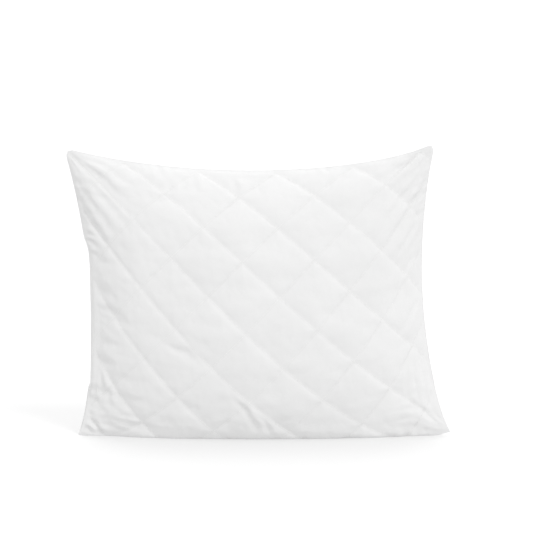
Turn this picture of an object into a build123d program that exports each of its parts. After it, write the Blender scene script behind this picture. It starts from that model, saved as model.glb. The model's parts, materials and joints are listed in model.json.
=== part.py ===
from build123d import *
import os
from math import cos, radians

# A quilted 50 x 60 cm bed pillow standing on one long edge and leaning back a little.
# A zip lies in its left side seam.
# Millimetres. +Z is up, +X is the pillow's right as its front is looked at, and the front faces -Y.
# The origin is on the floor, below the middle of the whole pillow.

os.makedirs("parts", exist_ok=True)

# ---- stance ----
lean_back = 4
seam_foot_y = -12

# ---- outline, in the seam plane: ear positions across and up, and how far each edge draws in ----
bottom_left_ear = (-284, 3)
bottom_right_ear = (301, 7)
top_left_ear = (-301, 458)
top_right_ear = (278, 467)
left_waist = 25
right_waist = 32
top_droop = 33
bottom_bulge = 47

# ---- stuffed depth of one side, before the floor flattens it ----
half_depth = 92
depth_at_bottom = 1.12
depth_lost_to_top = 0.34
depth_beside_edge = 0.8

# ---- layers ----
face_fabric_thickness = 0.6
wadding_thickness = 5.0
lining_thickness = 0.4
seam_lip = 3.5
wadding_edge = 8.0
lining_edge = 8.6

# ---- sewing ----
quilt_pitch = 76
quilt_crossing = (-10, 279)
quilt_lines_each_way = 13
thread_width = 0.9
thread_height = 0.35
seam_thread_inset = 1.5
seam_thread_corner = 30
pressed_seam_length = 480

# ---- zip, in the left side seam ----
zip_foot = 82
zip_line_x = -267
zip_depth = 11
placket_below = 4
placket_length = 233
placket_width = 12
tape_width = 12
tape_thickness = 0.6
tape_tail = 8
chain_gap = 1.2
coil_width = 1.8
coil_height = 1.5
coil_base = 0.9
coil_pitch = 1.25
coil_rib = 0.7
bottom_stop_start = 6
stop_length = 2.4
chain_top = 214
topstitch_inset = 8
bar_tack_start = 2
bar_tack_length = 9
bar_tack_height = 2.4

# ---- slider and pull ----
slider_length = 9
slider_width = 7.4
slider_plate = 0.9
slider_clearance = 0.3
slider_flange = 0.9
slider_post_width = 0.6
slider_post_length = 1.6
bail_width = 1.6
bail_bar = 0.8
bail_span = 6.4
bail_opening = 1.6
pull_pin_radius = 0.5
pull_length = 16
pull_width = 5.2
pull_eye_width = 2.6
pull_eye_length = 4.6

far = 800

seam_plane = Plane(
    origin=(0, seam_foot_y, 0),
    x_dir=(1, 0, 0),
    z_dir=(0, -cos(radians(lean_back)), cos(radians(90 - lean_back))),
)

# the zip's own plane: x runs up the zip, y to the pillow's back, z out of the side seam
zip_origin = seam_plane.from_local_coords((zip_line_x + zip_depth, zip_foot, 0))
zip_plane = Plane(origin=zip_origin, x_dir=seam_plane.y_dir, z_dir=(-1, 0, 0))

net_steps = (0, 0.1, 0.3, 0.5, 0.7, 0.9, 1)
last_step = len(net_steps) - 1


def between(start, end, share):
    return start + (end - start) * share


def drawn_in(step):
    """1 inside an edge and 0 at its ends, so that the edge draws in and the ears stay out."""
    return 0 if step in (0, last_step) else 1


def fullness(step):
    """Stuffed depth along one direction: none at the seam, a little less just beside it."""
    if step in (0, last_step):
        return 0
    return depth_beside_edge if step in (1, last_step - 1) else 1


def net_point(column, row, edge_inset, skin_inset, side):
    """One control point of the front (side 1) or back (side -1) panel."""
    across = net_steps[column]
    up = net_steps[row]
    left = between(bottom_left_ear[0], top_left_ear[0], up) + left_waist * drawn_in(row) + edge_inset
    right = between(bottom_right_ear[0], top_right_ear[0], up) - right_waist * drawn_in(row) - edge_inset
    low = between(bottom_left_ear[1], bottom_right_ear[1], across) - bottom_bulge * drawn_in(column)
    high = between(top_left_ear[1], top_right_ear[1], across) - top_droop * drawn_in(column)
    depth = (half_depth - skin_inset) * (depth_at_bottom - depth_lost_to_top * up)
    out = side * depth * fullness(column) * fullness(row)
    height = between(low + edge_inset, high - edge_inset, up)
    return seam_plane.from_local_coords((between(left, right, across), height, out))


def panel(edge_inset, skin_inset, side):
    steps = range(len(net_steps))
    net = [[net_point(column, row, edge_inset, skin_inset, side) for row in steps] for column in steps]
    return Face.make_bezier_surface(net)


def pillow_form(edge_inset, skin_inset, floor_gap):
    """The closed form of the pillow, this far inside its outer surface, flat where the floor is."""
    closed = Solid(Shell([panel(edge_inset, skin_inset, 1), panel(edge_inset, skin_inset, -1)]))
    return split(closed, bisect_by=Plane.XY.offset(floor_gap), keep=Keep.TOP)


def seam_curve(columns_and_rows, inset):
    return Bezier(*[
        seam_plane.to_local_coords(net_point(column, row, inset, 0, 1)) for column, row in columns_and_rows
    ])


def seam_outline(inset):
    """The seam's closed outline, this far inside the edge, as a face in the seam plane's own coordinates."""
    steps = range(len(net_steps))
    back_steps = range(last_step, -1, -1)
    with BuildSketch() as outline:
        with BuildLine():
            seam_curve([(step, 0) for step in steps], inset)
            seam_curve([(last_step, step) for step in steps], inset)
            seam_curve([(step, last_step) for step in back_steps], inset)
            seam_curve([(0, step) for step in back_steps], inset)
        make_face()
    return outline.sketch


# ---- the pillow's nested forms ----
wadding_inset = face_fabric_thickness + wadding_thickness
filling_inset = wadding_inset + lining_thickness
thread_form = pillow_form(-thread_height, -thread_height, 0)
outer_form = pillow_form(0, 0, 0)
fabric_inside = pillow_form(seam_lip, face_fabric_thickness, face_fabric_thickness)
wadding_inside = pillow_form(wadding_edge, wadding_inset, wadding_inset)
filling_form = pillow_form(lining_edge, filling_inset, filling_inset)

# ---- the space the zip takes out of the side seam ----
placket_middle = placket_length / 2 - placket_below
tape_length = placket_length + 2 * tape_tail
slider_room = slider_plate + 2 * slider_clearance
with BuildPart() as zip_space:
    with BuildSketch(zip_plane.offset(-slider_room)):
        with Locations((placket_middle, 0)):
            Rectangle(placket_length, placket_width)
    extrude(amount=2 * zip_depth + slider_room)
    with BuildSketch(zip_plane):
        with Locations((placket_middle, 0)):
            Rectangle(tape_length, chain_gap + 2 * tape_width)
    extrude(amount=tape_thickness)

# ---- thread of the closing seam, between the two face fabrics, open at the ears and along the zip ----
with BuildPart() as edge_seam_thread:
    with BuildSketch(seam_plane):
        add(seam_outline(seam_thread_inset))
        add(seam_outline(seam_thread_inset + thread_width), mode=Mode.SUBTRACT)
        with Locations(bottom_left_ear, bottom_right_ear, top_left_ear, top_right_ear):
            Rectangle(2 * seam_thread_corner, 2 * seam_thread_corner, mode=Mode.SUBTRACT)
        with Locations((zip_line_x, zip_foot + placket_middle)):
            Rectangle(4 * zip_depth, tape_length + 2 * seam_thread_inset, mode=Mode.SUBTRACT)
        with Locations((0, -far / 2)):
            Rectangle(far, far, mode=Mode.SUBTRACT)
        with Locations((0, face_fabric_thickness / 2)):
            Rectangle(pressed_seam_length, face_fabric_thickness / 2)
    extrude(amount=thread_height, both=True)

# ---- quilted panels: face fabric, wadding and lining, front and back ----
with BuildPart() as front_face_fabric:
    add(outer_form)
    add(fabric_inside, mode=Mode.SUBTRACT)
    split(bisect_by=seam_plane, keep=Keep.TOP)
    add(edge_seam_thread.part, mode=Mode.SUBTRACT)
    add(zip_space.part, mode=Mode.SUBTRACT)

with BuildPart() as back_face_fabric:
    add(outer_form)
    add(fabric_inside, mode=Mode.SUBTRACT)
    split(bisect_by=seam_plane, keep=Keep.BOTTOM)
    add(edge_seam_thread.part, mode=Mode.SUBTRACT)
    add(zip_space.part, mode=Mode.SUBTRACT)

with BuildPart() as front_wadding:
    add(fabric_inside)
    add(wadding_inside, mode=Mode.SUBTRACT)
    split(bisect_by=seam_plane, keep=Keep.TOP)
    add(zip_space.part, mode=Mode.SUBTRACT)

with BuildPart() as back_wadding:
    add(fabric_inside)
    add(wadding_inside, mode=Mode.SUBTRACT)
    split(bisect_by=seam_plane, keep=Keep.BOTTOM)
    add(zip_space.part, mode=Mode.SUBTRACT)

with BuildPart() as front_lining:
    add(wadding_inside)
    add(filling_form, mode=Mode.SUBTRACT)
    split(bisect_by=seam_plane, keep=Keep.TOP)
    add(zip_space.part, mode=Mode.SUBTRACT)

with BuildPart() as back_lining:
    add(wadding_inside)
    add(filling_form, mode=Mode.SUBTRACT)
    split(bisect_by=seam_plane, keep=Keep.BOTTOM)
    add(zip_space.part, mode=Mode.SUBTRACT)

with BuildPart() as fibre_filling:
    add(filling_form)
    add(zip_space.part, mode=Mode.SUBTRACT)


# ---- stitching on the face fabrics ----
def quilt_lines():
    """Diagonal stitch lines both ways, crossing at quilt_crossing, in the seam plane's own coordinates."""
    with BuildSketch() as lines:
        for turn in (45, -45):
            with Locations(Location((*quilt_crossing, 0), (0, 0, turn))):
                with GridLocations(quilt_pitch, 1, quilt_lines_each_way, 1):
                    Rectangle(thread_width, 2 * far)
    return lines.sketch


with BuildPart() as stitch_layer:
    add(thread_form)
    add(outer_form, mode=Mode.SUBTRACT)
    add(zip_space.part, mode=Mode.SUBTRACT)

quilt_side = 2 * half_depth
with BuildPart() as front_quilting_thread:
    add(stitch_layer.part)
    with BuildSketch(seam_plane):
        add(quilt_lines())
    extrude(amount=quilt_side, mode=Mode.INTERSECT)

with BuildPart() as back_quilting_thread:
    add(stitch_layer.part)
    with BuildSketch(seam_plane):
        add(quilt_lines())
    extrude(amount=-quilt_side, mode=Mode.INTERSECT)

# ---- the zip's own stitching: a row beside the placket on each face, and a bar tack at each end ----
topstitch_x = zip_line_x + topstitch_inset
placket_centre = zip_foot + placket_middle
bar_tack_x = zip_line_x + bar_tack_start + bar_tack_length / 2
bar_tack_below = zip_foot - placket_below - bar_tack_height
bar_tack_above = bar_tack_below + placket_length + 2 * bar_tack_height

with BuildPart() as zip_topstitch_front:
    add(stitch_layer.part)
    with BuildSketch(seam_plane):
        with Locations((topstitch_x, placket_centre)):
            Rectangle(thread_width, placket_length)
    extrude(amount=quilt_side, mode=Mode.INTERSECT)
    add(front_quilting_thread.part, mode=Mode.SUBTRACT)

with BuildPart() as zip_topstitch_back:
    add(stitch_layer.part)
    with BuildSketch(seam_plane):
        with Locations((topstitch_x, placket_centre)):
            Rectangle(thread_width, placket_length)
    extrude(amount=-quilt_side, mode=Mode.INTERSECT)
    add(back_quilting_thread.part, mode=Mode.SUBTRACT)

with BuildPart() as zip_bar_tacks:
    add(stitch_layer.part)
    with BuildSketch(seam_plane):
        with Locations((bar_tack_x, bar_tack_below), (bar_tack_x, bar_tack_above)):
            Rectangle(bar_tack_length, bar_tack_height)
    extrude(amount=quilt_side, both=True, mode=Mode.INTERSECT)
    add(front_quilting_thread.part, mode=Mode.SUBTRACT)
    add(back_quilting_thread.part, mode=Mode.SUBTRACT)

# ---- zip tapes and coils: side 1 is towards the back, side -1 towards the front ----
coil_start = bottom_stop_start + stop_length
coil_length = chain_top - coil_start
coil_inner = chain_gap / 2


def coil_profile():
    """Side view of one coil: a core with a rib for each turn."""
    outline = [(coil_start, 0)]
    for turn in range(int(coil_length / coil_pitch)):
        rib_start = coil_start + turn * coil_pitch
        outline += [
            (rib_start, coil_height),
            (rib_start + coil_rib, coil_height),
            (rib_start + coil_rib, coil_base),
            (rib_start + coil_pitch, coil_base),
        ]
    outline.append((outline[-1][0], 0))
    return outline


def zip_tape(side):
    with BuildPart() as tape:
        with BuildSketch(zip_plane):
            with Locations((placket_middle, side * (coil_inner + tape_width / 2))):
                Rectangle(tape_length, tape_width)
        extrude(amount=tape_thickness)
    return tape


def zip_coil(side):
    inner_face = Plane(
        origin=zip_plane.from_local_coords((0, side * coil_inner, tape_thickness)),
        x_dir=zip_plane.x_dir,
        z_dir=-zip_plane.y_dir,
    )
    with BuildPart() as coil:
        with BuildSketch(inner_face):
            with BuildLine():
                Polyline(*coil_profile(), close=True)
            make_face()
        extrude(amount=-side * coil_width)
    return coil


zip_tape_front = zip_tape(-1)
zip_tape_back = zip_tape(1)
zip_coil_front = zip_coil(-1)
zip_coil_back = zip_coil(1)

stop_spread = coil_inner + coil_width / 2
top_stop_middle = chain_top + stop_length / 2
with BuildPart() as zip_top_stops:
    with BuildSketch(zip_plane.offset(tape_thickness)):
        with Locations((top_stop_middle, -stop_spread), (top_stop_middle, stop_spread)):
            Rectangle(stop_length, coil_width)
    extrude(amount=coil_height)

with BuildPart() as zip_bottom_stop:
    with BuildSketch(zip_plane.offset(tape_thickness)):
        with Locations((bottom_stop_start + stop_length / 2, 0)):
            Rectangle(stop_length, chain_gap + 2 * coil_width)
    extrude(amount=coil_height)

# ---- slider, closed at the top of the chain ----
# Two plates go round the chain, a post runs between the coils and a bail stands on top.
slider_top = chain_top - slider_clearance
slider_middle = slider_top - slider_length / 2
coil_top = tape_thickness + coil_height
top_plate_foot = coil_top + slider_clearance
top_plate_top = top_plate_foot + slider_plate
flange_foot = tape_thickness + slider_clearance
flange_middle = (slider_width - slider_flange) / 2
with BuildPart() as zip_slider:
    with BuildSketch(zip_plane.offset(-slider_clearance - slider_plate)):
        with Locations((slider_middle, 0)):
            RectangleRounded(slider_length, slider_width, slider_width / 4)
    extrude(amount=slider_plate)
    with BuildSketch(zip_plane.offset(top_plate_foot)):
        with Locations((slider_middle, 0)):
            RectangleRounded(slider_length, slider_width, slider_width / 4)
    extrude(amount=slider_plate)
    with BuildSketch(zip_plane.offset(flange_foot)):
        with Locations((slider_middle, -flange_middle), (slider_middle, flange_middle)):
            Rectangle(slider_length / 2, slider_flange)
    extrude(amount=top_plate_foot - flange_foot)
    with BuildSketch(zip_plane.offset(-slider_clearance)):
        with Locations((slider_top - slider_post_length, 0)):
            Rectangle(slider_post_length, slider_post_width)
    extrude(amount=top_plate_foot + slider_clearance)
    with BuildSketch(zip_plane.offset(top_plate_top)):
        with Locations((slider_middle, 0)):
            Rectangle(bail_span, bail_width)
    extrude(amount=bail_opening + bail_bar)
    with BuildSketch(zip_plane.offset(top_plate_top)):
        with Locations((slider_middle, 0)):
            Rectangle(bail_span - 2 * bail_bar, bail_width)
    extrude(amount=bail_opening, mode=Mode.SUBTRACT)

# ---- pull tab: a flat tab with an eye, hanging from its end pin under the bail ----
pull_pin_height = top_plate_top + bail_opening / 2
pull_thickness = 2 * pull_pin_radius
pull_eye_middle = slider_middle - pull_eye_length / 2
with BuildPart() as zip_pull_tab:
    with BuildSketch(zip_plane.offset(pull_pin_height - pull_pin_radius)):
        with Locations((slider_middle - pull_length / 2, 0)):
            Rectangle(pull_length, pull_width)
        with Locations((pull_eye_middle, 0)):
            Rectangle(pull_eye_length, pull_eye_width, mode=Mode.SUBTRACT)
    extrude(amount=pull_thickness)
    pull_end = zip_pull_tab.edges().filter_by(Axis(zip_plane.origin, zip_plane.z_dir)).sort_by(Axis.Z)
    fillet(pull_end[:2], radius=pull_width / 3)
    pin_plane = Plane(
        origin=zip_plane.from_local_coords((slider_middle, -pull_width / 2, pull_pin_height)),
        x_dir=zip_plane.x_dir,
        z_dir=zip_plane.y_dir,
    )
    with BuildSketch(pin_plane):
        Circle(pull_pin_radius)
    extrude(amount=pull_width)

pieces = {
    "front_face_fabric": front_face_fabric,
    "back_face_fabric": back_face_fabric,
    "front_wadding": front_wadding,
    "back_wadding": back_wadding,
    "front_lining": front_lining,
    "back_lining": back_lining,
    "fibre_filling": fibre_filling,
    "edge_seam_thread": edge_seam_thread,
    "front_quilting_thread": front_quilting_thread,
    "back_quilting_thread": back_quilting_thread,
    "zip_topstitch_front": zip_topstitch_front,
    "zip_topstitch_back": zip_topstitch_back,
    "zip_bar_tacks": zip_bar_tacks,
    "zip_tape_front": zip_tape_front,
    "zip_tape_back": zip_tape_back,
    "zip_coil_front": zip_coil_front,
    "zip_coil_back": zip_coil_back,
    "zip_top_stops": zip_top_stops,
    "zip_bottom_stop": zip_bottom_stop,
    "zip_slider": zip_slider,
    "zip_pull_tab": zip_pull_tab,
}
for name, piece in pieces.items():
    piece.part.label = name
    export_step(piece.part, f"parts/{name}.step")
    print(name, round(piece.part.volume), len(piece.part.solids()), piece.part.bounding_box())
travel = slider_middle - slider_length / 2 - coil_start - slider_clearance
print("slider travel", travel)
print("slide axis", -zip_plane.x_dir)
print("pull pin", zip_plane.from_local_coords((slider_middle, 0, pull_pin_height)), zip_plane.y_dir)
print("zip plane", zip_plane)
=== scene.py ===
import json
import math

import bpy
import numpy as np
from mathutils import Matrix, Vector


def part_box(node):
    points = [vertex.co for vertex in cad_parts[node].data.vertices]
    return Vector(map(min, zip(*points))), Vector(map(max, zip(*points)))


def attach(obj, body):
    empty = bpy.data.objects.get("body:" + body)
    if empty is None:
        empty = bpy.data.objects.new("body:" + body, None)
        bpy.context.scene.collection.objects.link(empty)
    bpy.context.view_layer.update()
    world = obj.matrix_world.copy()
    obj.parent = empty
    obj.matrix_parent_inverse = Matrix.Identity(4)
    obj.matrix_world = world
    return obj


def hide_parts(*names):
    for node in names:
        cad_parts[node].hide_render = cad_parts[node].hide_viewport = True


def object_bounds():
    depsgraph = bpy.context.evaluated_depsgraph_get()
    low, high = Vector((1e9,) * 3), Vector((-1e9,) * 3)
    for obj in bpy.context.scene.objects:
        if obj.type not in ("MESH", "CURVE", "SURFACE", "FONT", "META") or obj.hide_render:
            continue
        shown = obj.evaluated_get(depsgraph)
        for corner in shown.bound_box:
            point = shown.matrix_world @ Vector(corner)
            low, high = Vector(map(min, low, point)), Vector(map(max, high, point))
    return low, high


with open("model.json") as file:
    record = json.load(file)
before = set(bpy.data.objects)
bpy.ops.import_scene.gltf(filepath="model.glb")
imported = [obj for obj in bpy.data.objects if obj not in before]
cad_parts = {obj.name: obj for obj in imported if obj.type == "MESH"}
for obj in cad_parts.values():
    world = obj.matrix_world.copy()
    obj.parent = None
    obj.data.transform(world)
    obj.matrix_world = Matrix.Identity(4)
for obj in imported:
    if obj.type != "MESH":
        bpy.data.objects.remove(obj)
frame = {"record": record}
cad_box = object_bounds()

# The pillow is worked out in millimetres on its flat cloth and becomes metres when a mesh is made.
MM = 0.001
rng = np.random.default_rng(7)

# ---- the cloth as it was cut ----
CLOTH_WIDTH = 600.0
CLOTH_HEIGHT = 500.0
# a quilting diamond's width and height, and one crossing from which the whole lattice is counted
QUILT_DIAMOND = (112.0, 108.0)
QUILT_CROSSING = (283.0, 332.0)
# the padded layers' thickness, and how far from the seam they reach it
LAYERS = 4.5
LAYERS_REACH = 18.0

# ---- light: strengths, spreads, and the directions that the suns shine from ----
SKY = 1.03
GROUND = 0.86
BACKDROP = 1.1
# the surroundings turn from GROUND to SKY between these heights, straight down being -1
DOME_FOOT = -0.95
DOME_TOP = -0.2
KEY = 0.8
KEY_SPREAD = math.radians(25)
KEY_FROM = (0.7, -0.75, 0.95)
BACK_LIGHT = 0.75
BACK_LIGHT_SPREAD = math.radians(50)
BACK_LIGHT_FROM = (-0.1, 0.75, 1.0)
FLOOR_GLOW = 0.05
FLOOR_WHITE = 0.76
FABRIC_WHITE = 0.755

# ---- camera: where it aims and how wide the picture is there, in metres ----
CAMERA_AIM = (0.0125, -0.02, 0.272)
CAMERA_DISTANCE = 3.2
CAMERA_ELEVATION = math.radians(6)
PICTURE_WIDTH = 0.842
SENSOR_WIDTH = 36.0

# ---- simulation grid and final grid: cells across and up ----
SIM_CELLS = (96, 80)
FINE_CELLS = (240, 200)

# ---- simulation: what each round does ----
ROUNDS = 220
LINK_PASSES = 3
VOLUME = 19.6e6
START_SCATTER = 0.5
DAMPING = 0.86
PRESSURE_GAIN = 30
PRESSURE_PUSH = 0.9
WEIGHT = 0.05
# how stiff a link is when pressed, beside when pulled
CRUSH = 0.12
# lengths along a seam's and a quilting line's thread, as shares of the flat cloth's
SHRINK_SEAM = 0.955
SHRINK_QUILT = 0.985
# how much shorter than flat the cloth is held: across, further across at mid-height, and upwards
SHORTER_ACROSS = 0.015
SHORTER_MIDDLE = 0.035
SHORTER_UP = 0.012
# how far from a seam, and from a quilting line, the thread's shortening reaches
SHRINK_REACH = 5.0
QUILT_REACH = 4.0
# the pull towards the smooth form: everywhere, at the seams, at the ears and beside the zip
HOLD = 0.03
SEAM_HOLD = 0.08
SEAM_HOLD_REACH = 10.0
EAR_HOLD = 0.5
EAR_HOLD_REACH = 14.0
ZIP_HOLD = 0.6
# the panels stay this far apart, less near the seams
LEAST_GAP = 1.6

# ---- what is kept of the simulated shape's departure from the smooth form, and the upper ears' blunting ----
SIM_SHARE = 0.7
EAR_START = 25.0
EAR_REACH = 170.0
LEFT_EASING = 0.45
LEFT_EASING_REACH = 70.0
ZIP_LOOSE_START = 60.0
ZIP_LOOSE_REACH = 60.0
EAR_BLUNTING = 8.0
EAR_BLUNT_REACH = 14.0

# ---- relief on the cloth ----
FALLING_DEPTH = 2.1
RISING_DEPTH = 1.6
PUFF = 1.6
PUCKER = 1.4
FOLD_DEPTH = 1.4
EAR_FOLDS = 3.2
EAR_FOLD_DEPTH = 0.5
# the deepest that relief may press in, as a share of the layers
DEEPEST = 0.65

# ---- seams and stitches ----
SEAM_CLEARANCE = 5.0
HEM_COLUMNS = 4
HEM_THICKNESS = 0.5
TOPSTITCH_IN = 7.0
THREAD_RADIUS = 0.3
STITCH_PITCH = 3.6
STITCH_GAP = 0.18
STITCH_SHARES = np.array([0, 0.25, 0.75, 1.0])
SEAM_ROW_IN = 0.4
SEAM_ROW_END = 30.0
SEAM_ROW_ZIP_GAP = 8.0
TACK_WIDTH = 9.0
TACK_HEIGHT = 3.6
TACK_SPACING = 0.65

# ---- the zip's spirals ----
COIL_WIRE = 0.3
COIL_PITCH = 1.25
COIL_STEPS = 10
COIL_MIDDLE = 1.5
COIL_REACH = 0.6

# ---- stance, from the CAD box and the joints ----
joints = {joint["name"]: joint for joint in frame["record"]["behaviour"]["joints"]}
zip_slide = joints["zip_slide"]
pull_hinge = joints["pull_tab_hinge"]
LEAN = math.atan2(-zip_slide["axis"][1], -zip_slide["axis"][2])
low, high = (np.array(c) / MM for c in cad_box)
SEAM_FOOT_Y = (pull_hinge["pos_m"][1] - pull_hinge["pos_m"][2] * math.tan(LEAN)) / MM
up_dir = np.array([0.0, math.sin(LEAN), math.cos(LEAN)])
out_dir = np.array([0.0, -math.cos(LEAN), math.sin(LEAN)])
seam_origin = np.array([0.0, SEAM_FOOT_Y, 0.0])

# the zip, from its CAD nodes: the tape's plane, and the placket between the bar tacks, up the seam plane
zip_low, zip_high = (np.array(c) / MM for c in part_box("zip_tape_front"))
tack_low, tack_high = (np.array(c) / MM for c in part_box("zip_bar_tacks"))
# the tape lies this far inside the cover's edge, and the placket ends this far inside the tacks' outer ends
TAPE_DEPTH = 10.4
TACK_MARGIN = 3.0
ZIP_EDGE_X = zip_low[0] - TAPE_DEPTH
TAPE_X = zip_high[0]
PLACKET_FOOT = (tack_low[2] + TACK_MARGIN) / math.cos(LEAN)
PLACKET_TOP = (tack_high[2] - TACK_MARGIN) / math.cos(LEAN)
# how far each lip of the placket stands from the seam plane, at its edge and further in
LIP_GAP = 4.8
LIP_SLOPE = 12.5

# ears in the seam plane (across, up) and how far the edges draw in
EARS = {
    "bottom_left": (low[0] + 13, 2.0),
    "bottom_right": (high[0] + 5, 6.0),
    "top_left": (low[0] - 9, high[2] - 7),
    "top_right": (high[0] - 20, high[2] + 2),
}
LEFT_WAIST = 34.0
RIGHT_WAIST = 38.0
TOP_DROOP = 45.0
BOTTOM_BULGE = 47.0
HALF_DEPTH = 92.0
# where the net that shapes the smooth form has its rows, as shares of the cloth
NET = np.array([0, 0.1, 0.3, 0.5, 0.7, 0.9, 1.0])


def flat_grid(cells):
    """Flat cloth coordinates of a grid's points, in from the left seam and up from the bottom one."""
    u = np.linspace(0, CLOTH_WIDTH, cells[0] + 1)
    v = np.linspace(0, CLOTH_HEIGHT, cells[1] + 1)
    return np.meshgrid(u, v, indexing="ij")


def seam_distance(u, v):
    """Distance on the flat cloth to the nearest seam."""
    return np.minimum(np.minimum(u, CLOTH_WIDTH - u), np.minimum(v, CLOTH_HEIGHT - v))


def ear_distance(u, v):
    """Distance on the flat cloth to the nearest corner."""
    return np.hypot(np.minimum(u, CLOTH_WIDTH - u), np.minimum(v, CLOTH_HEIGHT - v))


def smooth(t):
    """0 below 0, 1 above 1, and a soft step between."""
    t = np.clip(t, 0, 1)
    return t * t * (3 - 2 * t)


def bernstein(t):
    """The smooth form's blending weights at each t from 0 to 1."""
    degree = len(NET) - 1
    return np.array([math.comb(degree, k) * t**k * (1 - t) ** (degree - k) for k in range(degree + 1)]).T


def stance_form(cells):
    """The stuffed pillow's smooth form on a grid of flat cloth: front and back panels.

    The four lists below say how much of an edge's draw, or of the depth, each row of the net has. The
    depth also thins from foot to top.
    """
    inner = np.array([0, 0.35, 0.95, 1.05, 0.95, 0.35, 0])
    side_inner = np.array([0, 0.62, 0.98, 1.05, 0.95, 0.35, 0])
    top_inner = np.array([0, 0.4, 0.98, 1.06, 1.04, 0.72, 0])
    full = np.array([0, 0.8, 1, 1, 1, 0.8, 0.0])
    across, up = np.meshgrid(NET, NET, indexing="ij")
    inner_across, inner_up = np.meshgrid(inner, side_inner, indexing="ij")
    top_across, _ = np.meshgrid(top_inner, side_inner, indexing="ij")

    def blend(a, b, share):
        return a + (b - a) * share

    foot_depth, thinning = 1.12, 0.34
    left = blend(EARS["bottom_left"][0], EARS["top_left"][0], up) + LEFT_WAIST * inner_up
    right = blend(EARS["bottom_right"][0], EARS["top_right"][0], up) - RIGHT_WAIST * inner_up
    bottom = blend(EARS["bottom_left"][1], EARS["bottom_right"][1], across) - BOTTOM_BULGE * inner_across
    top = blend(EARS["top_left"][1], EARS["top_right"][1], across) - TOP_DROOP * top_across
    x = blend(left, right, across)
    s = blend(bottom, top, up)
    n = HALF_DEPTH * (foot_depth - thinning * up) * np.outer(full, full)
    bu = bernstein(np.linspace(0, 1, cells[0] + 1))
    bv = bernstein(np.linspace(0, 1, cells[1] + 1))
    x, s, n = (bu @ g @ bv.T for g in (x, s, n))
    in_plane = seam_origin + x[..., None] * [1, 0, 0] + s[..., None] * up_dir
    return np.array([in_plane + side * n[..., None] * out_dir for side in (1, -1)])


# ---------------------------------------------------------------- cloth simulation
def grid_links(cells):
    """Pairs of grid points held at their flat distance, in sets that share no point, with their stiffness."""
    du = CLOTH_WIDTH / cells[0]
    dv = CLOTH_HEIGHT / cells[1]
    nu, nv = cells[0] + 1, cells[1] + 1
    links = []
    for step, stiffness in (((1, 0), 1.0), ((0, 1), 1.0), ((1, 1), 0.5), ((1, -1), 0.5),
                            ((2, 0), 0.25), ((0, 2), 0.25), ((4, 0), 0.12), ((0, 4), 0.12)):
        reach = max(step[0], abs(step[1]))
        along_u = step[0] > 0
        size = nu if along_u else nv
        for colour in range(2):
            starts = np.array([k for k in range(size - reach) if (k // reach) % 2 == colour])
            if along_u:
                rows = np.arange(max(0, -step[1]), nv - max(0, step[1]))
                a = np.ix_(starts, rows)
                b = np.ix_(starts + step[0], rows + step[1])
            else:
                columns = np.arange(nu)
                a = np.ix_(columns, starts)
                b = np.ix_(columns, starts + step[1])
            length = math.hypot(step[0] * du, step[1] * dv)
            links.append((a, b, length, stiffness, step))
    return links


def face_normals(points):
    """A panel's area normals, spread to its points, and cell by cell. Those of the front point outwards."""
    d1 = points[1:, 1:] - points[:-1, :-1]
    d2 = points[:-1, 1:] - points[1:, :-1]
    area = 0.5 * np.cross(d1, d2)
    spread = np.zeros_like(points)
    for i in (0, 1):
        for j in (0, 1):
            spread[i:points.shape[0] - 1 + i, j:points.shape[1] - 1 + j] += 0.25 * area
    return spread, area


def volume(points, side):
    """A panel's share of the enclosed volume."""
    centre = 0.25 * (points[1:, 1:] + points[:-1, :-1] + points[:-1, 1:] + points[1:, :-1])
    _, area = face_normals(points)
    return side * np.sum(centre * area) / 3


def edge_slices():
    """The four edges of a panel's grid, where the two panels are joined."""
    return (np.s_[0, :], np.s_[-1, :], np.s_[:, 0], np.s_[:, -1])


def rest_lengths(cells, links):
    """Flat lengths, a little shorter along the seams and quilting lines, where thread gathers the cloth."""
    uu, vv = flat_grid(cells)
    lengths = []
    for a, b, length, stiffness, step in links:
        mu = 0.5 * (uu[a] + uu[b])
        mv = 0.5 * (vv[a] + vv[b])
        rest = np.full(mu.shape, length)
        crosswise = abs(step[0]) / (abs(step[0]) + abs(step[1]))
        middle_row = np.sin(np.pi * np.clip(mv / CLOTH_HEIGHT, 0, 1))
        rest *= 1 - crosswise * (SHORTER_ACROSS + SHORTER_MIDDLE * middle_row) - (1 - crosswise) * SHORTER_UP
        near_side = np.minimum(mu, CLOTH_WIDTH - mu)
        near_end = np.minimum(mv, CLOTH_HEIGHT - mv)
        if step[0] == 0:
            rest *= 1 - (1 - SHRINK_SEAM) * np.exp(-near_side / SHRINK_REACH)
        if step[1] == 0:
            rest *= 1 - (1 - SHRINK_SEAM) * np.exp(-near_end / SHRINK_REACH)
        falling, rising = quilt_distance(mu, mv)
        if step == (1, 1):
            rest *= 1 - (1 - SHRINK_QUILT) * (np.abs(rising) < QUILT_REACH)
        if step == (1, -1):
            rest *= 1 - (1 - SHRINK_QUILT) * (np.abs(falling) < QUILT_REACH)
        lengths.append(rest)
    return lengths


def quilt_distance(u, v):
    """Signed distance on the flat cloth to the nearest falling and the nearest rising stitch line.

    It is positive above a line. Falling lines run from the upper left to the lower right.
    """
    across = (u - QUILT_CROSSING[0]) / QUILT_DIAMOND[0]
    up = (v - QUILT_CROSSING[1]) / QUILT_DIAMOND[1]
    pitch = QUILT_DIAMOND[0] * QUILT_DIAMOND[1] / math.hypot(*QUILT_DIAMOND)
    falling = ((across + up + 0.5) % 1 - 0.5) * pitch
    rising = ((up - across + 0.5) % 1 - 0.5) * pitch
    return falling, rising


def up_seam(points):
    """Height up the seam plane."""
    return (points - seam_origin) @ up_dir


def placket_share(points):
    """1 beside the zip and 0 above and below it, for a panel's points."""
    height = up_seam(points)
    beyond, ease = 4, 14
    return smooth((height - PLACKET_FOOT + beyond) / ease) * smooth((PLACKET_TOP + beyond - height) / ease)


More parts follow.
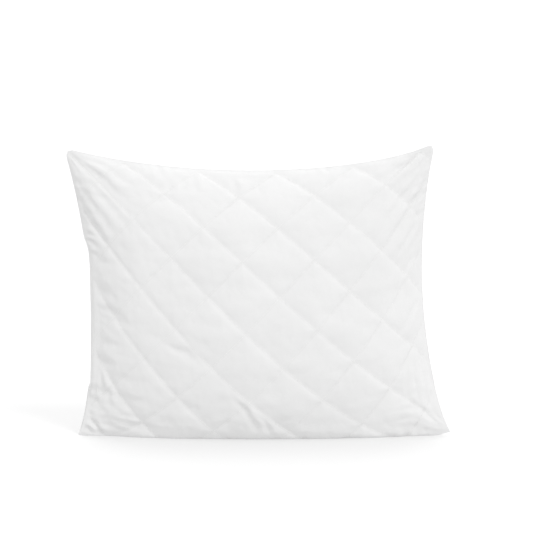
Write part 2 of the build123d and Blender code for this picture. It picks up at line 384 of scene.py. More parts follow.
def simulate(cells, rounds):
    """Inflate the joined panels to VOLUME on the floor, loosely held to the smooth form."""
    target = stance_form(cells)
    points = target.copy()
    points += rng.normal(0, START_SCATTER, points.shape)
    before = points.copy()
    links = grid_links(cells)
    lengths = rest_lengths(cells, links)
    u, v = flat_grid(cells)
    edge = seam_distance(u, v)
    hold = HOLD + SEAM_HOLD * np.exp(-edge / SEAM_HOLD_REACH)
    hold = hold + EAR_HOLD * np.exp(-ear_distance(u, v) / EAR_HOLD_REACH)
    in_placket = placket_share(target[0])[0]
    target[:, 0, :, 0] += in_placket * (ZIP_EDGE_X - target[:, 0, :, 0])
    hold[0] = np.maximum(hold[0], ZIP_HOLD * in_placket)
    cell_area = CLOTH_WIDTH * CLOTH_HEIGHT / cells[0] / cells[1]
    for _ in range(rounds):
        filled = sum(volume(points[k], side) for k, side in enumerate((1, -1)))
        pressure = np.clip((VOLUME - filled) / VOLUME * PRESSURE_GAIN, -0.3, 1.0)
        step = DAMPING * (points - before)
        before = points.copy()
        for k, side in enumerate((1, -1)):
            spread, _ = face_normals(points[k])
            step[k] += side * PRESSURE_PUSH * pressure * spread / cell_area
        step[..., 2] -= WEIGHT
        points += step
        for _ in range(LINK_PASSES):
            for (a, b, _, stiffness, _), rest in zip(links, lengths):
                for k in (0, 1):
                    panel = points[k]
                    delta = panel[b] - panel[a]
                    size = np.linalg.norm(delta, axis=-1)
                    pull = 0.5 * stiffness * (1 - rest / np.maximum(size, 1e-6))
                    pull = np.where(pull < 0, CRUSH * pull, pull)
                    delta *= pull[..., None]
                    panel[a] += delta
                    panel[b] -= delta
            for s in edge_slices():
                middle = 0.5 * (points[0][s] + points[1][s])
                points[0][s] = middle
                points[1][s] = middle
        points += hold[..., None] * (target - points)
        gap = (points[0] - points[1]) @ out_dir
        push = 0.5 * np.maximum(0, np.minimum(LEAST_GAP, 0.3 * edge) - gap)
        points[0] += push[..., None] * out_dir
        points[1] -= push[..., None] * out_dir
        under = points[..., 2] < 0
        points[..., 2] = np.maximum(points[..., 2], 0)
        points[..., :2] = np.where(under[..., None], before[..., :2], points[..., :2])
    return points


# ---------------------------------------------------------------- finer grid
def catmull_matrix(coarse, fine):
    """Rows of weights that take coarse grid lines to fine ones by a Catmull-Rom spline."""
    weights = np.zeros((fine + 1, coarse + 1))
    for row, t in enumerate(np.linspace(0, coarse, fine + 1)):
        k = min(int(t), coarse - 1)
        f = t - k
        parts = (-0.5 * f + f**2 - 0.5 * f**3, 1 - 2.5 * f**2 + 1.5 * f**3,
                 0.5 * f + 2 * f**2 - 1.5 * f**3, -0.5 * f**2 + 0.5 * f**3)
        for offset, part in zip((-1, 0, 1, 2), parts):
            weights[row, min(max(k + offset, 0), coarse)] += part
    return weights


def refine(points):
    """Both panels on the final grid."""
    wu = catmull_matrix(SIM_CELLS[0], FINE_CELLS[0])
    wv = catmull_matrix(SIM_CELLS[1], FINE_CELLS[1])
    return np.einsum("ai,kijc,bj->kabc", wu, points, wv, optimize=True)


def blunt_ears(points, u, v):
    """Draw the tips of the two upper corners in towards the middle, which rounds them."""
    middle = points[0, FINE_CELLS[0] // 2, FINE_CELLS[1] // 2].copy()
    middle[1] = SEAM_FOOT_Y + (middle[2] * math.tan(LEAN))
    for i, across in ((0, u), (-1, CLOTH_WIDTH - u)):
        inward = middle - points[0, i, -1]
        inward /= np.linalg.norm(inward)
        near = np.exp(-((np.hypot(across, CLOTH_HEIGHT - v) / EAR_BLUNT_REACH) ** 2))
        points = points + EAR_BLUNTING * near[..., None] * inward
    return points


def unit_normals(points, side):
    """Outward unit normals at a panel's points."""
    spread, _ = face_normals(points)
    return side * spread / np.maximum(np.linalg.norm(spread, axis=-1, keepdims=True), 1e-9)


def value_noise(u, v, cell, seed):
    """Smooth noise from -1 to 1 on the flat cloth, with features about as wide as cell."""
    table = np.random.default_rng(seed).uniform(-1, 1, (64, 64))
    x = u / cell + 7.3
    y = v / cell + 3.1
    i = np.floor(x).astype(int)
    j = np.floor(y).astype(int)
    fx = smooth(x - i)
    fy = smooth(y - j)
    rows = [table[(i + p) % 64, (j + q) % 64] for p in (0, 1) for q in (0, 1)]
    low_side = rows[0] * (1 - fy) + rows[1] * fy
    high_side = rows[2] * (1 - fy) + rows[3] * fy
    return low_side * (1 - fx) + high_side * fx


def quilt_relief(u, v, seed):
    """Puffs between the stitch lines. A falling line has a steep lip under it and a long slope above."""
    falling, rising = quilt_distance(u, v)
    strength = 0.8 + 0.35 * value_noise(u, v, 90, seed)
    slope_reach, lip_reach, rising_reach, puff_reach, gather_reach = 11, 3.5, 5, 18, 8
    above = np.exp(-np.maximum(falling, 0) / slope_reach) * (falling >= 0)
    below = np.exp(np.minimum(falling, 0) / lip_reach) * (falling < 0)
    fall_groove = FALLING_DEPTH * strength * (above + below)
    shown = smooth(0.55 + 0.8 * value_noise(u, v, 110, seed + 1) + 0.5 * (u - 300) / 300)
    rise_groove = RISING_DEPTH * (0.1 + 0.9 * shown) * np.exp(-np.abs(rising) / rising_reach)
    puff = PUFF * (1 - np.exp(-np.minimum(np.abs(falling), np.abs(rising)) / puff_reach))
    along_falling = (u - v) * math.sqrt(0.5)
    across_falling = (u + v) * math.sqrt(0.5)
    gather = value_noise(along_falling, across_falling * 0.35, 8, seed + 2)
    stitched = np.exp(-np.abs(falling) / gather_reach) * 0.4 + np.exp(-np.abs(rising) / gather_reach) * 0.15
    return puff - np.maximum(fall_groove, rise_groove) + gather * stitched


def seam_puckers(u, v, seed):
    """Short gathers running in from each seam, unevenly spaced along it."""
    total = np.zeros_like(u)
    sides = (
        (v, u, CLOTH_HEIGHT, 0.5),
        (v, CLOTH_WIDTH - u, CLOTH_HEIGHT, 0.8),
        (u, v, CLOTH_WIDTH, 1.0),
        (u, CLOTH_HEIGHT - v, CLOTH_WIDTH, 0.9),
    )
    for k, (along, inward, size, share) in enumerate(sides):
        warp = along + 12 * value_noise(along, inward * 0.25, 34, seed + 10 * k)
        wave = 0.7 * np.sin(2 * np.pi * warp / 19) + 0.5 * np.sin(2 * np.pi * warp / 31 + k)
        strength = smooth(0.45 + 0.9 * value_noise(along, inward * 0.1, 60, seed + 10 * k + 1))
        reach = 14 + 16 * smooth(0.5 + value_noise(along, 0 * along, 45, seed + 10 * k + 2))
        corner = smooth((np.minimum(along, size - along) - 20) / 50)
        total += share * PUCKER * wave * strength * corner * np.exp(-inward / reach) * smooth(inward / 7)
    return total


def ear_folds(u, v, seed):
    """A few soft folds fanning out of each corner, where the cloth is drawn together."""
    total = np.zeros_like(u)
    for k, (across, up) in enumerate(((u, v), (CLOTH_WIDTH - u, v), (u, CLOTH_HEIGHT - v),
                                      (CLOTH_WIDTH - u, CLOTH_HEIGHT - v))):
        reach = np.hypot(across, up)
        turn = np.arctan2(up, np.maximum(across, 1e-6)) / (np.pi / 2)
        wander = 0.09 * value_noise(reach, turn * 60, 42, seed + 5 * k)
        wave = np.sin(2 * np.pi * (EAR_FOLDS * (turn + wander)) + k)
        finer = 0.4 * np.sin(2 * np.pi * (1.9 * EAR_FOLDS * (turn + wander)) + 2 * k)
        envelope = smooth((reach - 14) / 30) * smooth((135 - reach) / 90)
        beside = smooth(turn / 0.12) * smooth((1 - turn) / 0.12)
        total += EAR_FOLD_DEPTH * (wave + finer) * envelope * beside
    return total


def bowed_distance(u, v, start, end, bow):
    """Distance from a bowed line, positive on its left, and how far along it each place is, 0 to 1."""
    start, end = np.array(start, float), np.array(end, float)
    size = np.linalg.norm(end - start)
    along_dir = (end - start) / size
    side_dir = np.array([-along_dir[1], along_dir[0]])
    share = ((u - start[0]) * along_dir[0] + (v - start[1]) * along_dir[1]) / size
    off = (u - start[0]) * side_dir[0] + (v - start[1]) * side_dir[1]
    return off - bow * 4 * share * (1 - share), share


def creases(u, v, folds, seed):
    """Folds in the cloth: a soft valley with a broad raised lip on its left, dying away at both ends."""
    total = np.zeros_like(u)
    end_share = 0.42
    for k, (start, end, bow, depth, width) in enumerate(folds):
        off, share = bowed_distance(u, v, start, end, bow)
        off = off + 3 * value_noise(u, v, 22, seed + k)
        length = smooth(share / end_share) * smooth((1 - share) / end_share)
        width = width * (0.75 + 0.5 * share)
        valley = np.exp(-((off / width) ** 2))
        lip = np.exp(-(((off - 1.9 * width) / (1.6 * width)) ** 2))
        total += FOLD_DEPTH * depth * length * (0.7 * lip - valley)
    return total


def relief(u, v, seed, folds, in_placket):
    """Everything that stands above or below a panel's smooth skin, in millimetres."""
    fade = smooth(seam_distance(u, v) / 16)
    broad = 1.1 * value_noise(u, v * 1.5, 55, seed + 42)
    wrinkles = 0.65 * value_noise(u, v * 1.7, 25, seed + 40) + 0.35 * value_noise(u * 1.3, v, 12, seed + 41)
    # ripples that are strongest near the left seam and the bottom one
    rippled = np.exp(-u / 130) + 0.5 * np.exp(-v / 90)
    wrinkles = wrinkles + 0.8 * rippled * value_noise(u * 0.4, v * 1.5, 15, seed + 43)
    topstitched = 1.1 * in_placket * np.exp(-(((u - TOPSTITCH_IN) / 2.6) ** 2))
    inside = quilt_relief(u, v, seed) + broad + wrinkles + creases(u, v, folds, seed + 60)
    return fade * (inside + ear_folds(u, v, seed + 70)) + seam_puckers(u, v, seed + 50) - topstitched


def open_placket(points, side):
    """Part a panel's left edge from the other's beside the zip, clear of the tape behind it."""
    share = placket_share(points)
    inward = points[..., 0] - points[:1, :, 0]
    off = side * ((points - seam_origin) @ out_dir)
    lift_reach, slope_reach = 30, 6.5
    near = np.exp(-np.maximum(inward, 0) / lift_reach)
    wanted = LIP_GAP + LIP_SLOPE * (1 - np.exp(-np.maximum(inward, 0) / slope_reach))
    lift = share * near * np.maximum(wanted - off, 0)
    return points + side * lift[..., None] * out_dir


def hem(points, side):
    """Grid columns before the left edge: the cloth turned in to the zip tape, or narrowly elsewhere."""
    share = placket_share(points)[0]
    narrow = 0.5
    depth = narrow + (TAPE_X - ZIP_EDGE_X - narrow) * share
    columns = []
    for k in range(HEM_COLUMNS, 0, -1):
        turned = points[0].copy()
        turned[:, 0] += depth * k / HEM_COLUMNS
        turned += side * (0.5 * share * math.sin(math.pi * k / HEM_COLUMNS))[:, None] * out_dir
        columns.append(turned)
    return np.concatenate([np.array(columns), points])


# ---------------------------------------------------------------- meshes
def grid_quads(index):
    """Faces between the rows and columns of a grid of point numbers."""
    corners = [index[:-1, :-1], index[1:, :-1], index[1:, 1:], index[:-1, 1:]]
    return np.stack(corners, axis=-1).reshape(-1, 4)


def rim_quads(outer, inner):
    """Faces that close the gap between two grids of point numbers, all the way round their edges."""
    strips = []
    for edge in (np.s_[:, 0], np.s_[-1, :], np.s_[::-1, -1], np.s_[0, ::-1]):
        a, b = outer[edge], inner[edge]
        strips.append(np.stack([a[1:], a[:-1], b[:-1], b[1:]], axis=-1))
    return np.concatenate(strips)


def add_piece(name, points, faces, material, slot, replaced=(), flat=None, body="pillow"):
    """A closed mesh, given in millimetres, that rides on a body and stands for CAD nodes. flat is its UV."""
    mesh = bpy.data.meshes.new(name)
    mesh.from_pydata((points.reshape(-1, 3) * MM).tolist(), [], faces)
    if flat is not None:
        corners = np.array([c for face in faces for c in face])
        mesh.uv_layers.new(name="cloth").data.foreach_set("uv", flat[corners].ravel())
    mesh.polygons.foreach_set("use_smooth", np.ones(len(faces), dtype=bool))
    mesh.materials.append(material)
    mesh.update()
    piece = bpy.data.objects.new(name, mesh)
    bpy.context.scene.collection.objects.link(piece)
    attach(piece, body)
    if replaced:
        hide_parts(*replaced)
    return piece


def panel_shell(outer, inner, side):
    """Points and faces of one quilted panel: outer skin, inner skin, and the edge between them."""
    count = outer.shape[0] * outer.shape[1]
    outside = np.arange(count).reshape(outer.shape[:2])
    inside = outside + count
    faces = np.concatenate([grid_quads(outside), grid_quads(inside)[:, ::-1], rim_quads(outside, inside)])
    if side < 0:
        faces = faces[:, ::-1]
    return np.concatenate([outer.reshape(-1, 3), inner.reshape(-1, 3)]), faces.tolist()


def tubes(paths, radius, across, sides=5):
    """Closed round tubes: paths is tubes x points x 3, and across is a direction never along them."""
    count, steps = paths.shape[:2]
    along = np.gradient(paths, axis=1)
    along /= np.maximum(np.linalg.norm(along, axis=-1, keepdims=True), 1e-9)
    first = np.cross(along, across)
    first /= np.maximum(np.linalg.norm(first, axis=-1, keepdims=True), 1e-9)
    second = np.cross(along, first)
    angle = np.arange(sides) / sides * 2 * math.pi
    ring = first[..., None, :] * np.cos(angle)[:, None] + second[..., None, :] * np.sin(angle)[:, None]
    points = paths[..., None, :] + radius * ring
    index = np.arange(count * steps * sides).reshape(count, steps, sides)
    following = np.roll(index, -1, axis=2)
    corners = [index[:, :-1], following[:, :-1], following[:, 1:], index[:, 1:]]
    walls = np.stack(corners, axis=-1).reshape(-1, 4)
    faces = walls.tolist() + index[:, 0, ::-1].tolist() + index[:, -1].tolist()
    return points.reshape(-1, 3), faces


def on_cloth(skin, normals, u, v):
    """Places and outward normals on a panel's outer skin at flat cloth coordinates."""
    a = np.clip(u / CLOTH_WIDTH, 0, 1) * FINE_CELLS[0]
    b = np.clip(v / CLOTH_HEIGHT, 0, 1) * FINE_CELLS[1]
    i = np.minimum(a.astype(int), FINE_CELLS[0] - 1)
    j = np.minimum(b.astype(int), FINE_CELLS[1] - 1)
    fa = (a - i)[..., None]
    fb = (b - j)[..., None]

    def mix(grid):
        lower = grid[i, j] * (1 - fa) + grid[i + 1, j] * fa
        upper = grid[i, j + 1] * (1 - fa) + grid[i + 1, j + 1] * fa
        return lower * (1 - fb) + upper * fb

    return mix(skin), mix(normals)


def stitch_row(start, end):
    """Stitches along a straight row on the flat cloth, as stitches x 4 points x (u, v)."""
    start, end = np.array(start, float), np.array(end, float)
    size = np.linalg.norm(end - start)
    count = int(size / STITCH_PITCH)
    first = (np.arange(count) + 0.5 * STITCH_GAP) * STITCH_PITCH / size
    share = first[:, None] + (1 - STITCH_GAP) * STITCH_PITCH / size * STITCH_SHARES
    return start + share[..., None] * (end - start)


def quilt_rows():
    """Every quilting line's two ends on the flat cloth, clear of the seams and of the zip's stitching."""
    rows = []
    left, right = TOPSTITCH_IN + SEAM_CLEARANCE, CLOTH_WIDTH - SEAM_CLEARANCE
    foot, top = SEAM_CLEARANCE, CLOTH_HEIGHT - SEAM_CLEARANCE
    for slope in (-1, 1):
        for k in range(-12, 13):
            ends = []
            for v in (foot, top):
                up = (v - QUILT_CROSSING[1]) / QUILT_DIAMOND[1]
                ends.append(QUILT_CROSSING[0] + QUILT_DIAMOND[0] * slope * (up - k))
            u_low, u_high = max(left, min(ends)), min(right, max(ends))
            if u_high - u_low < 15:
                continue
            rise = slope * QUILT_DIAMOND[1] / QUILT_DIAMOND[0]
            v_low = QUILT_CROSSING[1] + QUILT_DIAMOND[1] * k + rise * (u_low - QUILT_CROSSING[0])
            rows.append(((u_low, v_low), (u_high, v_low + rise * (u_high - u_low))))
    return rows


def sewn(skin, normals, rows, lift, dip):
    """Thread paths for rows of stitches on a skin: each one dips into the cloth at both ends."""
    stitches = np.concatenate([stitch_row(start, end) for start, end in rows])
    places, normals_there = on_cloth(skin, normals, stitches[..., 0], stitches[..., 1])
    heights = np.array([-dip, lift, lift, -dip])
    paths = places + heights[:, None] * normals_there
    paths[..., 2] = np.maximum(paths[..., 2], THREAD_RADIUS)
    return paths, normals_there


# ---------------------------------------------------------------- materials
def bumped(name, colour, darker, patch_size, roughness, bumps, coordinate="Object"):
    """A material whose colour drifts in soft patches, under bump layers of (kind, size, depth) in metres."""
    material = bpy.data.materials.new(name)
    material.use_nodes = True
    tree = material.node_tree
    nodes, links = tree.nodes, tree.links
    shader = nodes["Principled BSDF"]
    shader.inputs["Metallic"].default_value = 0.0
    place = nodes.new("ShaderNodeTexCoord").outputs[coordinate]
    drift = nodes.new("ShaderNodeTexNoise")
    drift.inputs["Scale"].default_value = 1 / patch_size
    drift.inputs["Detail"].default_value = 4.0
    links.new(place, drift.inputs["Vector"])
    ramp = nodes.new("ShaderNodeValToRGB")
    ramp.color_ramp.elements[0].position = 0.3
    ramp.color_ramp.elements[0].color = (*darker, 1)
    ramp.color_ramp.elements[1].position = 0.7
    ramp.color_ramp.elements[1].color = (*colour, 1)
    links.new(drift.outputs["Fac"], ramp.inputs["Fac"])
    links.new(ramp.outputs["Color"], shader.inputs["Base Color"])
    worn = nodes.new("ShaderNodeMapRange")
    worn.inputs["To Min"].default_value = roughness - 0.08
    worn.inputs["To Max"].default_value = roughness + 0.08
    links.new(drift.outputs["Fac"], worn.inputs["Value"])
    links.new(worn.outputs["Result"], shader.inputs["Roughness"])
    normal = None
    for kind, size, depth in bumps:
        if kind == "NOISE":
            pattern = nodes.new("ShaderNodeTexNoise")
            pattern.inputs["Scale"].default_value = 1 / size
            pattern.inputs["Detail"].default_value = 3.0
            height = pattern.outputs["Fac"]
        else:
            pattern = nodes.new("ShaderNodeTexWave")
            pattern.bands_direction = kind
            pattern.inputs["Scale"].default_value = math.pi / 10 / size
            pattern.inputs["Distortion"].default_value = 0.6
            height = pattern.outputs["Fac"]
        links.new(place, pattern.inputs["Vector"])
        bump = nodes.new("ShaderNodeBump")
        bump.inputs["Distance"].default_value = depth
        links.new(height, bump.inputs["Height"])
        if normal is not None:
            links.new(normal, bump.inputs["Normal"])
        normal = bump.outputs["Normal"]
    links.new(normal, shader.inputs["Normal"])
    return material, shader


# the cloth's own UV map is 600 mm to 1, so sizes there are divided by the cloth's width
cloth_width_m = CLOTH_WIDTH * MM
fabric, fabric_shader = bumped(
    "white_microfibre", (FABRIC_WHITE,) * 3, (FABRIC_WHITE * 0.975,) * 3, 0.09 / cloth_width_m, 0.78,
    [("NOISE", 0.011 / cloth_width_m, 0.0005), ("X", 0.0006 / cloth_width_m, 0.00003),
     ("Y", 0.0006 / cloth_width_m, 0.00003)], "UV")
fabric_shader.inputs["Sheen Weight"].default_value = 0.25
fabric_shader.inputs["Sheen Roughness"].default_value = 0.5
fabric_shader.inputs["Specular IOR Level"].default_value = 0.3

thread, thread_shader = bumped("white_thread", (0.86, 0.86, 0.85), (0.8, 0.8, 0.79), 0.02, 0.55,
                               [("DIAGONAL", 0.0004, 0.00004)])
thread_shader.inputs["Sheen Weight"].default_value = 0.2

fibre, fibre_shader = bumped("white_fibre", (0.84, 0.84, 0.83), (0.7, 0.7, 0.69), 0.02, 0.9,
                             [("NOISE", 0.004, 0.003), ("NOISE", 0.0008, 0.0006)])
fibre_shader.inputs["Sheen Weight"].default_value = 0.4

tape, tape_shader = bumped("white_zip_tape", (0.88, 0.88, 0.87), (0.82, 0.82, 0.81), 0.012, 0.75,
                           [("Y", 0.0007, 0.00006), ("Z", 0.0005, 0.00006)])
tape_shader.inputs["Sheen Weight"].default_value = 0.15

nylon, nylon_shader = bumped("white_nylon", (0.88, 0.88, 0.86), (0.82, 0.82, 0.8), 0.004, 0.35,
                             [("NOISE", 0.0012, 0.00003)])
nylon_shader.inputs["Coat Weight"].default_value = 0.15

metal, metal_shader = bumped("nickel_plate", (0.72, 0.71, 0.69), (0.6, 0.59, 0.57), 0.002, 0.3,
                             [("NOISE", 0.0009, 0.00002), ("Z", 0.0005, 0.000006)])
metal_shader.inputs["Metallic"].default_value = 1.0
metal_shader.inputs["Coat Weight"].default_value = 0.1

# ---------------------------------------------------------------- folds
# folds placed from the quilting: start and run, counted in diamonds from QUILT_CROSSING, how far the fold
# bows to the left of its run, its depth and its half-width
QUILT_FOLDS = [
    ((-0.3, -1.9), (0.4, -0.7), 10, 2.0, 5),
    ((0.0, -2.1), (0.3, -0.6), 8, 1.2, 4),
    ((-1.3, -1.2), (0.7, -0.3), 6, 1.4, 6),
]
# folds that run in from an ear: 1 for a right ear or 0 for a left one, 1 for top or 0 for bottom, how far from
# its point the fold starts, its angle from the long edge, its length, bow, depth and half-width
EAR_CREASES = [
    (1, 1, 15, 30, 90, -8, 1.6, 6),
    (1, 0, 30, 60, 60, 6, 1.4, 5),
    (0, 1, 30, 40, 90, 8, 1.0, 7),
]
# the creases across the bottom left ear, by how far up the side they start
LOW_EAR_CREASES = (50, 28)
KNOT_SPACING = 12.0
KNOT_RUN = 36.0
FOLD_SCATTER = 6.0


def row_of_folds(first, last, count, run, bow, depth, width):
    """Roughly even folds that start between two places on the cloth and bow alternately."""
    scatter = np.random.default_rng(31)
    folds = []
    for k, share in enumerate(np.linspace(0, 1, count)):
        start = (1 - share) * np.array(first) + share * np.array(last)
        start = start + scatter.uniform(-FOLD_SCATTER, FOLD_SCATTER, 2)
        end = start + np.array(run) * scatter.uniform(0.8, 1.2)
        folds.append((start, end, bow * (-1) ** k, depth * scatter.uniform(0.8, 1.2), width))
    return folds


def front_folds(zip_foot, zip_top):
    """Every fold on the front, each placed from the quilting, an ear, a seam or an end of the zip."""
    crossing, diamond = np.array(QUILT_CROSSING), np.array(QUILT_DIAMOND)
    folds = []
    for place, run, bow, depth, width in QUILT_FOLDS:
        start = crossing + diamond * place
        folds.append((start, start + diamond * run, bow, depth, width))
    for right, top, distance, angle, length, bow, depth, width in EAR_CREASES:
        ear = np.array([right * CLOTH_WIDTH, top * CLOTH_HEIGHT])
        angle = math.radians(angle)
        inwards = np.array([(1 - 2 * right) * math.cos(angle), (1 - 2 * top) * math.sin(angle)])
        folds.append((ear + distance * inwards, ear + (distance + length) * inwards, bow, depth, width))
    for reach in LOW_EAR_CREASES:
        folds.append(((SEAM_CLEARANCE, reach), (1.1 * reach, SEAM_CLEARANCE), 5, 1.3, 4))
    # wrinkles off the zip, and off the right seam above its middle
    folds += row_of_folds((6, zip_top - 20), (6, zip_foot + 10), 6, (80, -5), 5, 1.0, 7)
    right, half_up = CLOTH_WIDTH - 3 * SEAM_CLEARANCE, CLOTH_HEIGHT / 2
    folds += row_of_folds((right, 1.5 * half_up), (right, half_up), 3, (-55, -50), 6, 1.0, 5)
    # gathers off the bottom seam to the right of the crossing, and off the top seam mostly left of it
    middle, foot, top = crossing[0], SEAM_CLEARANCE, CLOTH_HEIGHT - SEAM_CLEARANCE
    folds += row_of_folds((middle, foot), (middle + diamond[0], foot), 4, (0, 60), 3, 0.8, 4.5)
    first, last = middle - diamond[0], middle + 0.3 * diamond[0]
    folds += row_of_folds((first, top), (last, top), 4, (0, -60), 4, 0.8, 5)
    # three folds drawn together at the top end of the zip
    for step in (-1, 0, 1):
        height = zip_top + step * KNOT_SPACING
        folds.append(((4, height), (4 + KNOT_RUN, height - 4), 4 * step or 4, 2.0, 4))
    return folds


def back_folds(folds):
    """Some of the front's folds, seen from behind and moved a little."""
    turned = []
    narrowing, start_raise, end_raise = 0.94, 11, 7
    for start, end, bow, depth, width in folds[::2]:
        across = CLOTH_WIDTH - narrowing * np.array([start[0], end[0]])
        new_start = (across[0], start[1] + start_raise)
        new_end = (across[1], end[1] + end_raise)
        turned.append((new_start, new_end, -bow, depth, width))
    return turned


# ---------------------------------------------------------------- build
def cloth_skins():
    """Both panels' smooth skins on the final grid, from the simulation and the smooth form."""
    simulated = simulate(SIM_CELLS, ROUNDS)
    smooth_form = stance_form(SIM_CELLS)
    u, v = flat_grid(SIM_CELLS)
    from_ear = ear_distance(u, v)
    easing = 1 - LEFT_EASING * np.exp(-u / LEFT_EASING_REACH)
    loose = smooth((from_ear - EAR_START) / EAR_REACH) * easing
    beside_zip = placket_share(simulated[0]) * smooth((from_ear - ZIP_LOOSE_START) / ZIP_LOOSE_REACH)
    loose = np.maximum(loose, beside_zip)
    eased = smooth_form + SIM_SHARE * loose[..., None] * (simulated - smooth_form)
    return blunt_ears(refine(eased), *flat_grid(FINE_CELLS))


skins = cloth_skins()
uu, vv = flat_grid(FINE_CELLS)
# the layers' thickness at each point: thin at the seams, and held down where the panels lie close together
half_gap = np.maximum(0.5 * (skins[0] - skins[1]) @ out_dir, 0.05)
layers = np.minimum(0.5 + LAYERS * smooth(seam_distance(uu, vv) / LAYERS_REACH), 0.8 * half_gap + 0.2)
# the placket's two ends, up the flat cloth
placket_v = np.interp([PLACKET_FOOT, PLACKET_TOP], up_seam(skins[0][0]), vv[0])

# each cover point's place on the flat cloth, with the turned-in columns before the left edge
hem_u = np.linspace(-HEM_COLUMNS, -1, HEM_COLUMNS) * FINE_CELLS[0] ** -1 * CLOTH_WIDTH
flat_map = np.stack(np.meshgrid(np.concatenate([hem_u, uu[:, 0]]), vv[0], indexing="ij"), axis=-1)
flat_map = np.concatenate([flat_map.reshape(-1, 2)] * 2) / CLOTH_WIDTH


def quilted_panel(name, side, skin, seed, folds):
    """One panel's cover as a closed shell. Returns its outer skin and the inner one behind the layers."""
    heights = relief(uu, vv, seed, folds, placket_share(skin)[:1])
    heights = np.maximum(heights, -DEEPEST * layers)
    normals = unit_normals(skin, side)
    outer = open_placket(skin + heights[..., None] * normals, side)
    inner = open_placket(skin, side) - layers[..., None] * normals
    for surface in (outer, inner):
        surface[..., 2] = np.maximum(surface[..., 2], 0)
    inner[..., 2] = np.maximum(inner[..., 2], np.minimum(layers, 1.0))
    hemmed = hem(outer, side)
    lining_side = np.concatenate([hemmed[:HEM_COLUMNS] - side * HEM_THICKNESS * out_dir, inner])
    points, faces = panel_shell(hemmed, lining_side, side)
    cover = add_piece(f"{name}_cover", points, faces, fabric, "cover_fabric",
                      (f"{name}_face_fabric", f"{name}_wadding", f"{name}_lining"), flat_map)
    return outer, inner


def add_stitches(name, paths, lean_out, replaced):
    """Rows of stitches as one piece of thread."""
    add_piece(name, *tubes(paths, THREAD_RADIUS, lean_out), thread, "thread", (replaced,))


def seam_rows():
    """The seam's rows of stitches: bottom, top, right, and left below and above the zip."""
    near, end = SEAM_ROW_IN, SEAM_ROW_END
    right, top = CLOTH_WIDTH - near, CLOTH_HEIGHT - near
    return [
        ((end, near), (CLOTH_WIDTH - end, near)),
        ((end, top), (CLOTH_WIDTH - end, top)),
        ((right, end), (right, CLOTH_HEIGHT - end)),
        ((near, end), (near, placket_v[0] - SEAM_ROW_ZIP_GAP)),
        ((near, placket_v[1] + SEAM_ROW_ZIP_GAP), (near, CLOTH_HEIGHT - end)),
    ]


def tack_rows():
    """Short upright stitches side by side, below and above the zip."""
    rows = []
    for foot in (placket_v[0] - TACK_HEIGHT, placket_v[1]):
        for across in np.arange(0.6, TACK_WIDTH, TACK_SPACING):
            rows.append(((across, foot), (across, foot + STITCH_PITCH * 1.02)))
    return rows


on_front = front_folds(*placket_v)
panels = (("front", 1, 11, on_front), ("back", -1, 23, back_folds(on_front)))
tack_parts = []
inner_skins = []
for skin, (name, side, seed, folds) in zip(skins, panels):
    outer, inner = quilted_panel(name, side, skin, seed, folds)
    inner_skins.append(inner)
    normals = unit_normals(outer, side)
    paths, lean_out = sewn(outer, normals, quilt_rows(), lift=0.22, dip=0.5)
    add_stitches(f"{name}_quilting_stitches", paths, lean_out, f"{name}_quilting_thread")
    topstitch = [((TOPSTITCH_IN, placket_v[0]), (TOPSTITCH_IN, placket_v[1]))]
    paths, lean_out = sewn(outer, normals, topstitch, lift=0.25, dip=0.5)
    add_stitches(f"{name}_zip_topstitch", paths, lean_out, f"zip_topstitch_{name}")
    tack_parts.append(sewn(outer, normals, tack_rows(), lift=0.35, dip=0.4))
    if name == "front":
        seam_stitches = sewn(outer, normals, seam_rows(), lift=0.1, dip=0.3)

add_stitches("edge_seam_stitches", *seam_stitches, "edge_seam_thread")
tack_stitches = [np.concatenate(part) for part in zip(*tack_parts)]
add_stitches("zip_bar_tack_stitches", *tack_stitches, "zip_bar_tacks")


def fibre_filling():
    """The loose fibre inside: a smooth closed form just within both panels, clear of the zip."""
    inset = FINE_CELLS[0] // 20
    within = np.s_[2 * inset:-inset:3, inset:-inset:3]
    surfaces = [skin[within] - side * 1.5 * out_dir for skin, side in zip(inner_skins, (1, -1))]
    for surface in surfaces:
        surface[..., 2] = np.maximum(surface[..., 2], 2.0)
    points, faces = panel_shell(*surfaces, 1)
    filling = add_piece("fibre_filling_form", points, faces, fibre, "filling", ("fibre_filling",))


def zip_spiral(name, side, shift):
    """One half of the zip's chain: a flattened nylon spiral. shift, in turns, sets one in from the other."""
    coil_low, coil_high = (np.array(c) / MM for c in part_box(f"zip_coil_{name}"))
    foot = coil_low[2] / math.cos(LEAN) + COIL_WIRE
    turns = int((coil_high[2] - coil_low[2]) / math.cos(LEAN) / COIL_PITCH)
    turn = np.linspace(0, turns - 0.5, turns * COIL_STEPS) + shift
    angle = 2 * math.pi * turn
    place = seam_origin + (foot + COIL_PITCH * turn)[:, None] * up_dir
    place = place + side * (COIL_MIDDLE + COIL_REACH * np.cos(angle))[:, None] * out_dir
    half_width = 0.5 * (coil_high[0] - coil_low[0]) - COIL_WIRE
    place[:, 0] = 0.5 * (coil_low[0] + coil_high[0]) + half_width * np.sin(angle)
    points, faces = tubes(place[None], COIL_WIRE, up_dir, sides=6)
    add_piece(f"{name}_zip_spiral", points, faces, nylon, "zip_coil", (f"zip_coil_{name}",))


def carried_nodes():
    """The zip's tapes and metal parts keep their CAD shapes and get materials."""
    for node, material in (("zip_tape_front", tape), ("zip_tape_back", tape), ("zip_top_stops", metal),
                           ("zip_bottom_stop", metal), ("zip_slider", metal), ("zip_pull_tab", metal)):
        for slot in bpy.data.objects[node].material_slots:
            slot.material = material


fibre_filling()
zip_spiral("front", 1, 0.0)
zip_spiral("back", -1, 0.5)
carried_nodes()


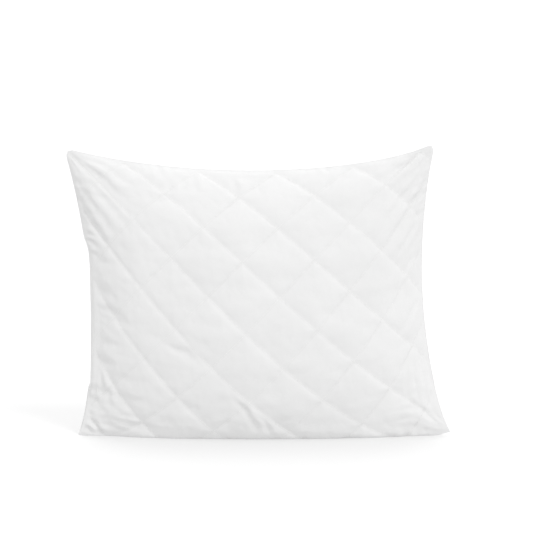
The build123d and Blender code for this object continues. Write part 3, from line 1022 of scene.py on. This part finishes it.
# ---------------------------------------------------------------- stage
def studio():
    """White surroundings that light softly from everywhere, a white floor, a key light and a back light."""
    scene = bpy.context.scene
    scene.view_settings.view_transform = "Standard"
    world = bpy.data.worlds.new("studio")
    scene.world = world
    world.use_nodes = True
    tree = world.node_tree
    ambient = tree.nodes["Background"]
    ambient.inputs["Color"].default_value = (1, 1, 1, 1)
    place = tree.nodes.new("ShaderNodeTexCoord")
    parts = tree.nodes.new("ShaderNodeSeparateXYZ")
    dome = tree.nodes.new("ShaderNodeMapRange")
    dome.interpolation_type = "SMOOTHSTEP"
    dome.inputs["From Min"].default_value = DOME_FOOT
    dome.inputs["From Max"].default_value = DOME_TOP
    dome.inputs["To Min"].default_value = GROUND
    dome.inputs["To Max"].default_value = SKY
    tree.links.new(place.outputs["Generated"], parts.inputs["Vector"])
    tree.links.new(parts.outputs["Z"], dome.inputs["Value"])
    tree.links.new(dome.outputs["Result"], ambient.inputs["Strength"])
    backdrop = tree.nodes.new("ShaderNodeBackground")
    backdrop.inputs["Color"].default_value = (1, 1, 1, 1)
    backdrop.inputs["Strength"].default_value = BACKDROP
    path = tree.nodes.new("ShaderNodeLightPath")
    mix = tree.nodes.new("ShaderNodeMixShader")
    tree.links.new(path.outputs["Is Camera Ray"], mix.inputs[0])
    tree.links.new(ambient.outputs[0], mix.inputs[1])
    tree.links.new(backdrop.outputs[0], mix.inputs[2])
    tree.links.new(mix.outputs[0], tree.nodes["World Output"].inputs["Surface"])

    bpy.ops.mesh.primitive_plane_add(size=40)
    floor = bpy.context.object
    floor.name = "studio_floor"
    white = bpy.data.materials.new("studio_white")
    white.use_nodes = True
    shader = white.node_tree.nodes["Principled BSDF"]
    shader.inputs["Base Color"].default_value = (FLOOR_WHITE, FLOOR_WHITE, FLOOR_WHITE, 1)
    shader.inputs["Roughness"].default_value = 1.0
    shader.inputs["Specular IOR Level"].default_value = 0.0
    shader.inputs["Emission Color"].default_value = (1, 1, 1, 1)
    shader.inputs["Emission Strength"].default_value = FLOOR_GLOW
    floor.data.materials.append(white)
    floor.visible_diffuse = False

    for name, strength, spread, source in (("key", KEY, KEY_SPREAD, KEY_FROM),
                                           ("back_light", BACK_LIGHT, BACK_LIGHT_SPREAD, BACK_LIGHT_FROM)):
        sun = bpy.data.lights.new(name, "SUN")
        sun.energy = strength
        sun.angle = spread
        lamp = bpy.data.objects.new(name, sun)
        scene.collection.objects.link(lamp)
        lamp.rotation_euler = Vector(source).to_track_quat("Z", "Y").to_euler()


def add_camera():
    """The camera looks a little down on the front."""
    camera_data = bpy.data.cameras.new("camera")
    camera = bpy.data.objects.new("camera", camera_data)
    bpy.context.scene.collection.objects.link(camera)
    back_and_up = np.array([0, -math.cos(CAMERA_ELEVATION), math.sin(CAMERA_ELEVATION)])
    camera.location = np.array(CAMERA_AIM) + CAMERA_DISTANCE * back_and_up
    camera.rotation_euler = (math.pi / 2 - CAMERA_ELEVATION, 0, 0)
    camera_data.sensor_width = SENSOR_WIDTH
    camera_data.lens = SENSOR_WIDTH * CAMERA_DISTANCE / PICTURE_WIDTH
    bpy.context.scene.camera = camera


studio()
add_camera()
